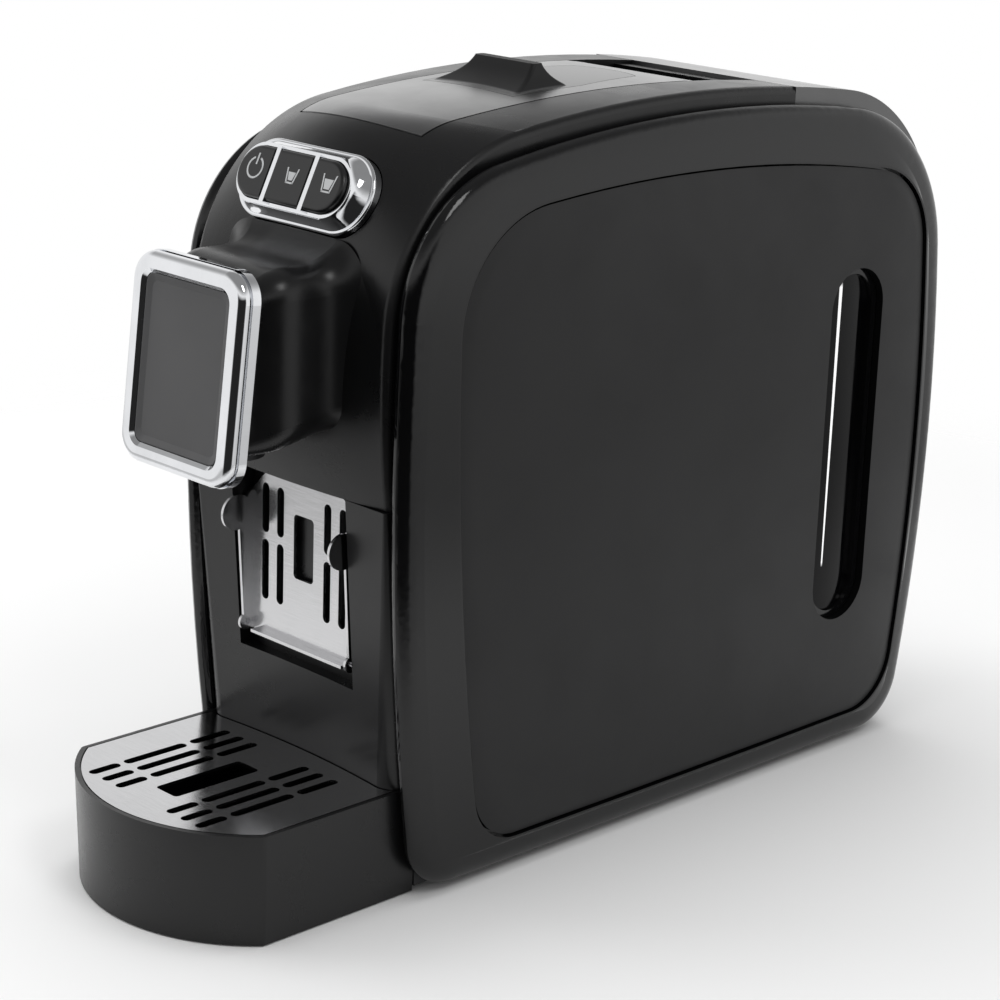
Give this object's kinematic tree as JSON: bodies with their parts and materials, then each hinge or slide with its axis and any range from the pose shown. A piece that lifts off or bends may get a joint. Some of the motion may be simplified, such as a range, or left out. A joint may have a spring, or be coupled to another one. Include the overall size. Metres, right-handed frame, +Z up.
{
  "type": "pod coffee machine",
  "caption": "Narrow black pod coffee machine with chrome-framed head, lever lid, fold-down cup shelf, slide-out drip tray and capsule drawer, and a lift-out rear water tank.",
  "frame": {"origin": "on the table under the middle of the overall box", "axes": "+Z up, -Y towards the user and the drip tray, +X to the right as seen in the picture's visible side"},
  "size_m": [0.13, 0.3928, 0.3008],
  "materials": {
    "satin_black": "satin black moulded plastic",
    "gloss_black": "polished black plastic",
    "side_black": "fine matt black plastic",
    "smoked_window": "smoked clear plastic",
    "inner_black": "plain black plastic",
    "chrome": "bright chrome",
    "plate_grey": "satin dark grey",
    "key_black": "satin black with pale icons",
    "steel": "satin stainless steel",
    "sheet_steel": "zinc plated sheet",
    "pin_steel": "ground steel",
    "rubber": "matt rubber",
    "silicone": "translucent silicone hose",
    "tank_clear": "smoked clear plastic",
    "grey_plastic": "glass filled nylon",
    "aluminium": "die cast",
    "coil": "coil yoke and plastic ends",
    "board_green": "circuit board"
  },
  "bodies": {
    "housing": {"upper_shell": "satin_black", "right_side_frame": "gloss_black", "left_side_frame": "gloss_black", "right_side_panel": "side_black", "left_side_panel": "side_black", "right_level_window": "smoked_window", "left_level_window": "smoked_window", "base_pan": "inner_black", "base_screws": "pin_steel", "feet": "rubber", "inlet_gland": "rubber", "head_bezel": "chrome", "head_plate": "plate_grey", "spout_nozzle": "inner_black", "spout_duct": "silicone", "turret_bezel": "chrome", "button_board": "board_green", "lever_pin": "pin_steel", "chassis": "sheet_steel", "brew_frame": "grey_plastic", "rear_bridge": "grey_plastic", "guide_rods": "pin_steel", "tank_socket": "inner_black", "pump": "coil", "pump_cradle": "rubber", "thermoblock": "aluminium", "thermostat": "inner_black", "flow_meter": "grey_plastic", "suction_hose": "silicone", "feed_hose": "silicone", "pressure_hose": "silicone", "hot_hose": "silicone", "control_board": "board_green"},
    "drawer": {"drip_tray": "satin_black", "drawer_front": "satin_black", "capsule_bin": "inner_black"},
    "grid": {"drip_grid": "steel"},
    "shelf": {"cup_shelf": "steel", "shelf_pins": "pin_steel"},
    "lever": {"lever_lid": "satin_black", "fin_grip": "satin_black", "crank_pin": "pin_steel"},
    "carriage": {"piston": "grey_plastic", "piston_seal": "silicone", "needles": "pin_steel", "push_arm": "grey_plastic"},
    "tank": {"water_tank": "tank_clear", "tank_pin": "pin_steel", "tank_valve": "inner_black", "tank_filter": "inner_black"},
    "tank_cover": {"tank_lid": "satin_black"},
    "power_key": {"power_button": "key_black"},
    "small_cup_key": {"small_cup_button": "key_black"},
    "large_cup_key": {"large_cup_button": "key_black"}
  },
  "joints": [
    {"name": "drawer_slide", "type": "slide", "parent": "housing", "child": "drawer", "axis": [0, -1, 0], "range_m": [0, 0.15]},
    {"name": "grid_lift", "type": "slide", "parent": "drawer", "child": "grid", "axis": [0, -0.1961, 0.9806], "range_m": [0, 0.032]},
    {"name": "shelf_fold", "type": "hinge", "parent": "drawer", "child": "shelf", "pos_m": [0, -0.1086, 0.0877], "axis": [1, 0, 0], "range_deg": [0, 90]},
    {"name": "lever_lift", "type": "hinge", "parent": "housing", "child": "lever", "pos_m": [0, 0.058, 0.256], "axis": [-1, 0, 0], "range_deg": [0, 72]},
    {"name": "piston_slide", "type": "slide", "parent": "housing", "child": "carriage", "axis": [0, 1, 0], "range_m": [0, 0.03]},
    {"name": "tank_lift", "type": "slide", "parent": "housing", "child": "tank", "axis": [0, 0, 1], "range_m": [0, 0.26]},
    {"name": "tank_lid_hinge", "type": "hinge", "parent": "tank", "child": "tank_cover", "pos_m": [0, 0.187, 0.2496], "axis": [-1, 0, 0], "range_deg": [0, 95]},
    {"name": "power_press", "type": "slide", "parent": "housing", "child": "power_key", "axis": [0, 0.9011, -0.4337], "range_m": [0, 0.0014], "stiffness_N_per_m": 500},
    {"name": "small_cup_press", "type": "slide", "parent": "housing", "child": "small_cup_key", "axis": [0, 0.9011, -0.4337], "range_m": [0, 0.0014], "stiffness_N_per_m": 500},
    {"name": "large_cup_press", "type": "slide", "parent": "housing", "child": "large_cup_key", "axis": [0, 0.9011, -0.4337], "range_m": [0, 0.0014], "stiffness_N_per_m": 500}
  ],
  "couplings": [
    {"joint": "piston_slide", "follows": "lever_lift", "m_per_rad": 0.023855}
  ]
}
